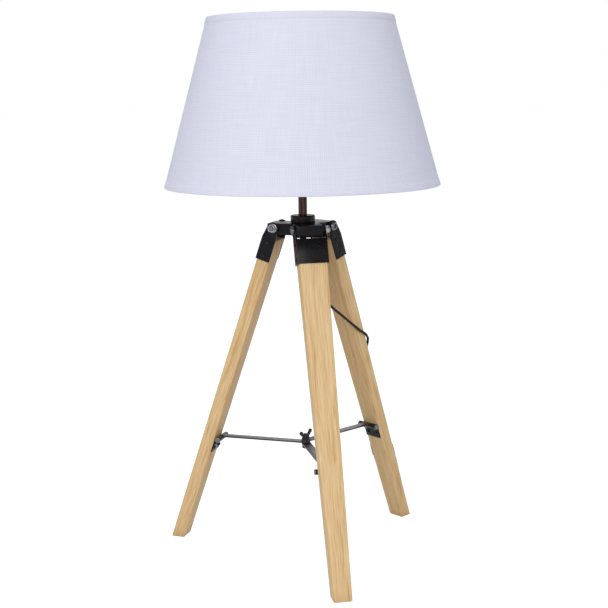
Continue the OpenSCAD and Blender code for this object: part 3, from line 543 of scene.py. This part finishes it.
# Painted reflections: this ramp sets the dark and light colours of the streaks along the tube.
nickel_painted_streaks = add(tree, "ValToRGB", {"Fac": tone.outputs[0]})
nickel_painted_streaks.color_ramp.elements[0].color = paint("#141213")
nickel_painted_streaks.color_ramp.elements[1].color = paint("#5a463c")
dent = add(tree, "Bump", {"Height": drawn.outputs["Fac"], "Strength": 0.5, "Distance": 0.03 * MM})
shader = add(tree, "BsdfPrincipled", {
    "Base Color": nickel_painted_streaks.outputs["Color"], "Metallic": 1.0, "Roughness": 0.24, "Normal": dent.outputs[0],
})
add(tree, "OutputMaterial", {"Surface": shader.outputs[0]})
fit(eased("lamp_tube", "pole", 0.3), "stand", ["pole"], nickel_with_painted_reflections)

# ---------------------------------------------------------------- lampholder, switch bar and shade ring
# Moulded black thermoset holder in two halves, a push bar that switches the bulb, a glazed core
# with brass contacts, and the ribbed ring that holds the shade down.
# Thermoset is a hard glossy black with a slight ripple, porcelain a warm white with a wet gloss, and
# pressed brass a yellow metal that is a little dull from the press.
thermoset = surface_of("moulded_black_thermoset", "#141414", 0.22, grain=2.5, bump=0.03, gloss=0.35)
glazed = surface_of("glazed_porcelain", "#ece9df", 0.15, grain=3.0, bump=0.02)
brass = surface_of("pressed_brass", "#c8a45c", 0.3, grain=2.0, bump=0.03, metal=1.0)
for piece, node, wide, finish, slot, body in (
    ("holder_cap", "lampholder_cap", 0.4, thermoset, "holder_plastic", "stand"),
    ("holder_barrel", "lampholder_body", 0.3, thermoset, "holder_plastic", "stand"),
    ("holder_core", "lampholder_core", 0.3, glazed, "holder_core", "stand"),
    ("holder_screw_shell", "screw_shell", 0.1, brass, "contact_brass", "stand"),
    ("holder_contact", "centre_contact", 0.3, brass, "contact_brass", "stand"),
    ("push_bar", "switch_bar", 0.3, thermoset, "holder_plastic", "switch_bar"),
    ("ribbed_shade_ring", "shade_ring", 0.3, thermoset, "holder_plastic", "shade_ring"),
):
    fit(eased(piece, node, wide), body, [node], finish)

# ---------------------------------------------------------------- bulb
# Opal white glass envelope on a spun aluminium screw cap, whose thread is rolled into its wall. The
# glass is blown, and cemented into the cap.
cap_low, cap_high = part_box("bulb_cap")[0][2] / MM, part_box("bulb_cap")[1][2] / MM
thread_pitch, thread_mid_r, thread_deep = 3.6, 12.45, 0.5
thread_z = np.linspace(cap_low + 6, cap_high - 2, 73)
thread_r = thread_mid_r + thread_deep * np.cos((thread_z - thread_z[0]) * 2 * np.pi / thread_pitch)
# Spun aluminium: a light grey metal with a soft blur.
spun_cap = surface_of("spun_aluminium", "#cfd0d2", 0.3, grain=2.0, bump=0.02, metal=1.0)
cap = turned("bulb_screw_cap", [
    (0, cap_low), (3.4, cap_low), (3.6, cap_low + 0.4), (4.9, cap_low + 1.6), (9, cap_low + 3.6),
    (12.4, cap_low + 5.6), *zip(thread_r, thread_z), (12.9, cap_high - 1), (12.9, cap_high), (0, cap_high),
])
fit(cap, "bulb", ["bulb_cap"], spun_cap)

globe_low, globe_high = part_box("bulb_globe")[0][2] / MM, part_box("bulb_globe")[1][2] / MM
globe_r, neck_meets, pull = 30.0, -38, 16.0
mid = globe_high - globe_r
arc = np.radians(np.linspace(neck_meets, 90, 44))[:, None]
ball = np.hstack([globe_r * np.cos(arc), mid + globe_r * np.sin(arc)])
# The neck is the cubic from the cap's rim to the ball's lower edge, 38 degrees under its middle, that
# leaves the first upwards and meets the second along the ball, both with the same pull.
t = np.linspace(0, 1, 18)[:-1, None]
rim, edge = np.array([13.6, globe_low + 1.2]), ball[0]
rim_pull = np.array([0.4, pull])
edge_pull = np.array([-math.sin(arc[0, 0]), math.cos(arc[0, 0])]) * pull
neck = (2 * t**3 - 3 * t**2 + 1) * rim + (t**3 - 2 * t**2 + t) * rim_pull
neck += (3 * t**2 - 2 * t**3) * edge + (t**3 - t**2) * edge_pull
# Opal glass: milky white under a clean gloss, with a little light spread inside it.
opal = surface_of("opal_glass", "#f4f3ee", 0.16, grain=4.0, bump=0.01, **{
    "Subsurface Weight": 0.2, "Subsurface Radius": (0.004, 0.004, 0.004),
})
glass = turned("bulb_envelope", [
    (0, globe_low), (13.2, globe_low), *neck, *ball[:-1], (0, globe_high),
], sides=96)
fit(glass, "bulb", ["bulb_globe"], opal)

# ---------------------------------------------------------------- shade
# White cotton-look fabric on a stiff styrene lining, rolled into a cone, lapped at the back, with
# its rims turned over a wire ring at the top and the bottom.
shade_low, shade_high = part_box("shade_panel")[0][2] / MM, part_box("shade_panel")[1][2] / MM
low_r, high_r, wall = 150.0, 100.0, 1.2
hem, hem_out, rim_round = 7.0, 0.5, 0.7
lap_out = 0.35
lap_at, lap_wide = 3, 3.2    # the lap's middle and half its width, in columns


def cone_r(z):
    """The cone's outer radius, which goes straight from the lower rim's to the upper rim's."""
    return low_r + (high_r - low_r) * (z - shade_low) / (shade_high - shade_low)


def cone_shell(name, columns=288):
    """A cone wall: a closed profile round the panel's edge, out at the hems by half a millimetre and
    round at both rims, carried round the pole. Its uv holds the metres round and up the cloth."""
    edge = np.radians(np.linspace(180, 360, 9))
    over = (np.cos(edge) + 1) / 2 * (wall + hem_out) - wall
    rise = np.array([0, 0.25, 0.6, 0.85, 1.0])
    step = hem_out * (1 - rise * rise * (3 - 2 * rise))
    plain = np.linspace(shade_low + hem + 4, shade_high - hem - 4, 24)
    profile = np.vstack([
        np.stack([over, shade_low + rim_round + rim_round * np.sin(edge)], 1),
        np.stack([step, shade_low + hem - 0.5 + rise], 1),
        np.stack([0 * plain, plain], 1),
        np.stack([step[::-1], shade_high - hem - 0.5 + rise], 1),
        np.stack([over[::-1], shade_high - rim_round + rim_round * np.sin(edge - np.pi)], 1),
        [[-wall, shade_high - 5], [-wall, shade_low + 5]],
    ])
    rows = len(profile)
    r, z = cone_r(profile[:, 1]) + profile[:, 0], profile[:, 1]
    a = np.arange(columns) * 2 * np.pi / columns + np.pi / 2
    lap = lap_out * np.clip(1 - np.abs(np.arange(columns) - lap_at) / lap_wide, 0, 1) ** 0.5
    outside = profile[:, :1] > -wall / 4
    far = r[:, None] + outside * lap
    points = np.stack([far * np.cos(a), far * np.sin(a), np.repeat(z[:, None], columns, 1)], -1)
    loop = np.column_stack([r, z])
    span = np.linalg.norm(np.roll(loop, -1, 0) - loop, axis=1)
    v = np.concatenate([[0], np.cumsum(span)]) * MM
    i, j = np.meshgrid(np.arange(rows), np.arange(columns), indexing="ij")
    u = np.arange(columns + 1) * 2 * np.pi * (low_r + high_r) / 2 * MM / columns
    corners = [(i, j), (i, j + 1), (i + 1, j + 1), (i + 1, j)]
    uv = np.stack([np.stack([u[col], v[row]], -1) for row, col in corners], 2).reshape(-1, 2)
    points = points.reshape(-1, 3) * MM
    return mesh_object(name, points, grid_faces(rows, columns, over=True), uv=uv, sharp=60)


# White woven cotton: threads are 0.5 mm in the real cloth, drawn at 2 mm so that they show, with
# slubs 1.4 mm wide that run both ways. A cool white that scatters a little light from within.
woven_shade, tree = new_material("woven_white_cotton_on_styrene")
thread_gap, slub_wide, slub_stretch = 1.9635, 1.4286, 0.04
cloth = add(tree, "UVMap", uv_map="cloth_metres").outputs[0]


def threads(way):
    """Even bands across the cloth's x or y, bent a little as a loom leaves them."""
    wave = add(tree, "TexWave", {
        "Vector": cloth, "Scale": wave_scale(thread_gap), "Distortion": 0.4,
        "Detail": 1.0, "Detail Scale": 2.0,
    }, bands_direction=way)
    return wave.outputs["Fac"]


def thick_threads(stretch):
    """Noise drawn out along one way of the cloth, for threads that are thicker here and there."""
    place = add(tree, "Mapping", {"Vector": cloth, "Scale": stretch})
    noise = add(tree, "TexNoise", {"Vector": place.outputs[0], "Scale": 1000 / slub_wide, "Detail": 2.0})
    return noise.outputs["Fac"]


weave = add(tree, "Math", {0: threads("X"), 1: threads("Y")}, operation="MULTIPLY")
slubs = add(tree, "Math", {
    0: thick_threads((1.0, slub_stretch, 1.0)), 1: thick_threads((slub_stretch, 1.0, 1.0)),
}, operation="ADD")
height = add(tree, "Math", {0: weave.outputs[0], 1: slubs.outputs[0]}, operation="ADD").outputs[0]
tone = add(tree, "MapRange", {"Value": height, "From Min": 0.8, "From Max": 1.9})
cotton = add(tree, "ValToRGB", {"Fac": tone.outputs[0]})
cotton.color_ramp.elements[0].color = paint("#e0e2f1")
cotton.color_ramp.elements[1].color = paint("#ecedfa")
dent = add(tree, "Bump", {"Height": height, "Strength": 0.5, "Distance": 0.12 * MM})
shader = add(tree, "BsdfPrincipled", {
    "Base Color": cotton.outputs["Color"], "Roughness": 0.9, "Normal": dent.outputs[0],
    "Specular IOR Level": 0.25, "Sheen Weight": 0.12, "Sheen Roughness": 0.5,
    "Subsurface Weight": 0.05, "Subsurface Radius": (0.001, 0.001, 0.001),
})
add(tree, "OutputMaterial", {"Surface": shader.outputs[0]})
shade_nodes = ["shade_panel", "shade_hem_lower", "shade_hem_upper"]
fit(cone_shell("fabric_shade"), "stand", shade_nodes, woven_shade)
# White enamel on wire: a warm white with a soft gloss and thick rounded ripples.
white_enamel = surface_of("white_enamelled_wire", "#e9e9e6", 0.35, grain=1.5, bump=0.04)
fit(eased("fitter_frame", "shade_fitter", 0.0), "stand", ["shade_fitter"], white_enamel)
fit(eased("top_ring", "shade_top_wire", 0.0), "stand", ["shade_top_wire"], white_enamel)

# ---------------------------------------------------------------- spreader
# Rolled steel strips with their ends curled into knuckles, on pins in black leaf hinges screwed to
# the legs, and clamped together by a bolt and a cast wing nut.
# Oiled rolled steel: dark grey with mill marks, drawn 2.4 mm wide, and a broad low shine.
dark_strip, tree = new_material("oiled_rolled_steel")
mill_gap = 2.381
place = add(tree, "TexCoord")
mill = add(tree, "TexNoise", {"Vector": place.outputs["Object"], "Scale": 1000 / mill_gap, "Detail": 4.0})
steel = add(tree, "ValToRGB", {"Fac": mill.outputs["Fac"]})
steel.color_ramp.elements[0].color = paint("#2a272a")
steel.color_ramp.elements[1].color = paint("#4c494d")
dent = add(tree, "Bump", {"Height": mill.outputs["Fac"], "Strength": 0.4, "Distance": 0.05 * MM})
shader = add(tree, "BsdfPrincipled", {
    "Base Color": steel.outputs["Color"], "Metallic": 0.85, "Roughness": 0.4, "Normal": dent.outputs[0],
})
add(tree, "OutputMaterial", {"Surface": shader.outputs[0]})
for side in leg_turns:
    fit(eased("strip_" + side, "strut_" + side, 0.3), "stand", ["strut_" + side], dark_strip)
    leaf = eased("leaf_" + side, "hinge_leaf_" + side, 0.3)
    fit(leaf, "stand", ["hinge_leaf_" + side], powder_coat)
fit(eased("clamp_bolt", "centre_bolt", 0.3), "stand", ["centre_bolt"], black_zinc)
fit(eased("clamp_rings", "centre_washers", 0.2), "stand", ["centre_washers"], dark_strip)
fit(eased("cast_wing_nut", "wing_nut", 0.5, cuts=3), "wing_nut", ["wing_nut"], black_zinc)
